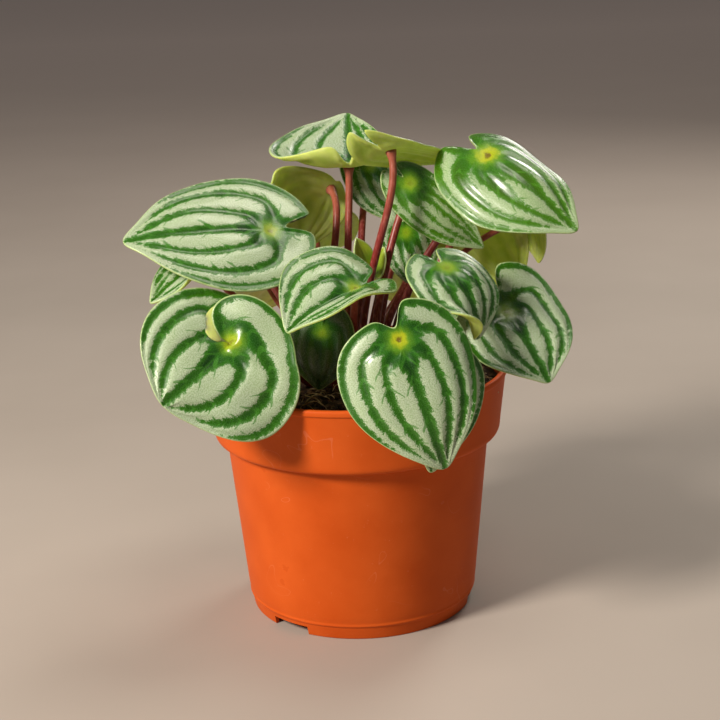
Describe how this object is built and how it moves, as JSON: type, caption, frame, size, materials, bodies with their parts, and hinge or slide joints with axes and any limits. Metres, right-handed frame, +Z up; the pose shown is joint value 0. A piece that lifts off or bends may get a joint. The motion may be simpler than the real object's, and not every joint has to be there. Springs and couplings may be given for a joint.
{
  "type": "potted peperomia",
  "caption": "House plant with striped shield-shaped leaves on red stalks, growing in soil in a round tapered plastic nursery pot.",
  "frame": {"origin": "on the pot's axis, at the plane the pot stands on", "axes": "+Z up along the pot's axis, -Y towards the viewer of the picture, +X to the viewer's right"},
  "size_m": [0.1694, 0.1558, 0.193],
  "materials": {
    "pot": "moulded terracotta-coloured polypropylene, satin, with light scuffs",
    "soil": "dark crumbly potting soil with pale root fibres",
    "leaf": "fleshy leaf, silver bands between dark green veins, waxy gloss above, pale and matt below",
    "young_leaf": "fleshy young leaf, yellow-green, waxy",
    "stalk": "smooth fleshy stalk, maroon red, slightly translucent"
  },
  "bodies": {
    "root": {"pot": "pot", "soil": "soil", "blade_upper_left": "leaf", "stalk_upper_left": "stalk", "blade_lower_left": "leaf", "stalk_lower_left": "stalk", "blade_centre_left": "leaf", "stalk_centre_left": "stalk", "blade_front": "leaf", "stalk_front": "stalk", "blade_right": "leaf", "stalk_right": "stalk", "blade_centre_curled": "leaf", "stalk_centre_curled": "stalk", "blade_centre_top": "leaf", "stalk_centre_top": "stalk", "blade_top_right": "leaf", "stalk_top_right": "stalk", "blade_top_left": "leaf", "stalk_top_left": "stalk", "blade_top_middle": "leaf", "stalk_top_middle": "stalk", "blade_hanging_left": "leaf", "stalk_hanging_left": "stalk", "blade_behind_top": "leaf", "stalk_behind_top": "stalk", "blade_behind_right": "leaf", "stalk_behind_right": "stalk", "blade_behind_centre": "leaf", "stalk_behind_centre": "stalk", "blade_far_right": "leaf", "stalk_far_right": "stalk", "blade_far_left": "leaf", "stalk_far_left": "stalk", "blade_shaded": "leaf", "stalk_shaded": "stalk", "blade_under_front": "leaf", "stalk_under_front": "stalk", "blade_under_right": "leaf", "stalk_under_right": "stalk", "blade_back_left": "leaf", "stalk_back_left": "stalk", "blade_back_middle": "leaf", "stalk_back_middle": "stalk", "blade_back_right": "leaf", "stalk_back_right": "stalk", "blade_low_back_left": "leaf", "stalk_low_back_left": "stalk", "blade_low_back_right": "leaf", "stalk_low_back_right": "stalk", "blade_young_front": "young_leaf", "stalk_young_front": "stalk", "blade_young_back": "young_leaf", "stalk_young_back": "stalk"}
  },
  "joints": []
}
